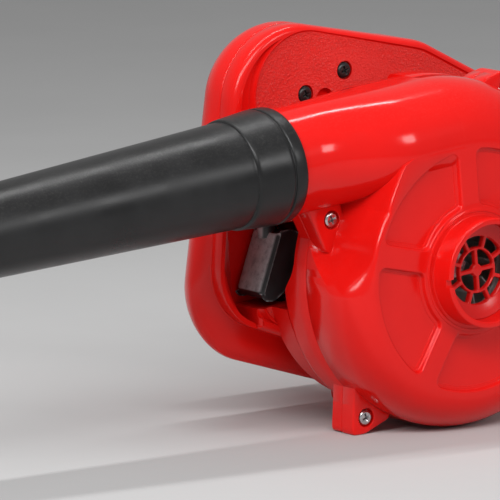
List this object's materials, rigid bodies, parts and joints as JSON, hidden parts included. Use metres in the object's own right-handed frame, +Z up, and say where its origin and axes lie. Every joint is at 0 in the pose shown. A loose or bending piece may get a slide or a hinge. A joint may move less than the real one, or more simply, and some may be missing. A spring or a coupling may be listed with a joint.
{
  "type": "car dryer blower",
  "caption": "Hand-held electric blower: two-half scroll fan casing, coaxial motor, closed handle with trigger, and a long push-on nozzle on its outlet pipe.",
  "frame": {"origin": "middle of the intake collar's straight wall, on the fan axis", "axes": "+Y along the fan axis, from the intake towards the motor; +Z up as the blower stands at rest; the outlet pipe and the nozzle run towards -X, pointing 6 degrees below it"},
  "size_m": [0.4669, 0.1791, 0.2127],
  "materials": {
    "casing_red": "glossy moulded ABS",
    "shell_red": "glossy moulded ABS with a fine grain on the panel",
    "grille_red": "glossy moulded ABS",
    "nozzle_black": "satin moulded polypropylene with a fine grain",
    "trigger_black": "satin glass-filled nylon, worn grey",
    "part_black": "matt moulded nylon",
    "switch_grey": "matt moulded phenolic",
    "impeller_white": "matt moulded nylon",
    "terminal_white": "matt moulded nylon",
    "rubber_black": "matt rubber",
    "screw_steel": "bright zinc-plated steel",
    "screw_black": "black oxide steel",
    "shaft_steel": "ground steel",
    "lamination_steel": "stacked electrical steel",
    "copper": "enamelled copper wire",
    "brass": "stamped brass",
    "carbon": "pressed graphite",
    "capacitor_yellow": "dipped film capacitor",
    "lead_blue": "PVC insulation"
  },
  "bodies": {
    "housing": {"fan_casing_front": "casing_red", "fan_casing_back": "casing_red", "intake_grille": "grille_red", "casing_screws": "screw_steel", "front_bearing": "shaft_steel", "rear_bearing": "shaft_steel", "bearing_sleeve": "rubber_black", "field_core": "lamination_steel", "field_coils": "copper", "field_screws": "screw_steel", "air_baffle": "part_black", "bearing_bracket": "part_black", "brush_holders": "brass", "carbon_brushes": "carbon", "brush_springs": "screw_steel", "brush_caps": "part_black", "handle_front_shell": "shell_red", "handle_back_shell": "shell_red", "handle_screws": "screw_black", "motor_fixing_screws": "screw_steel", "motor_end_cap": "shell_red", "end_cap_screws": "screw_black", "switch_body": "switch_grey", "capacitor": "capacitor_yellow", "terminal_block": "terminal_white", "internal_leads": "lead_blue", "cord_inlet_bush": "rubber_black", "cord_clamp": "switch_grey", "cord_clamp_screws": "screw_steel"},
    "rotor": {"impeller": "impeller_white", "impeller_washer": "screw_steel", "impeller_nut": "screw_steel", "motor_shaft": "shaft_steel", "armature_core": "lamination_steel", "armature_windings": "copper", "commutator": "copper", "cooling_fan": "part_black"},
    "trigger": {"trigger": "trigger_black", "switch_plunger": "switch_grey", "trigger_spring": "screw_steel"},
    "lock_on_button": {"lock_button": "part_black", "lock_spring": "screw_steel"},
    "nozzle": {"nozzle": "nozzle_black"}
  },
  "joints": [
    {"name": "rotor_spin", "type": "hinge", "parent": "housing", "child": "rotor", "pos_m": [0, 0.05315, 0], "axis": [0, 1, 0], "continuous": true},
    {"name": "trigger_pull", "type": "slide", "parent": "housing", "child": "trigger", "axis": [0.9426, 0, -0.3338], "range_m": [0, 0.006], "stiffness_N_per_m": 500, "springref_m": -0.004},
    {"name": "lock_press", "type": "slide", "parent": "housing", "child": "lock_on_button", "axis": [0, -1, 0], "range_m": [0, 0.003], "stiffness_N_per_m": 600, "springref_m": -0.003},
    {"name": "nozzle_pull", "type": "slide", "parent": "housing", "child": "nozzle", "axis": [-0.9945, 0, -0.1045], "range_m": [0, 0.027]}
  ]
}
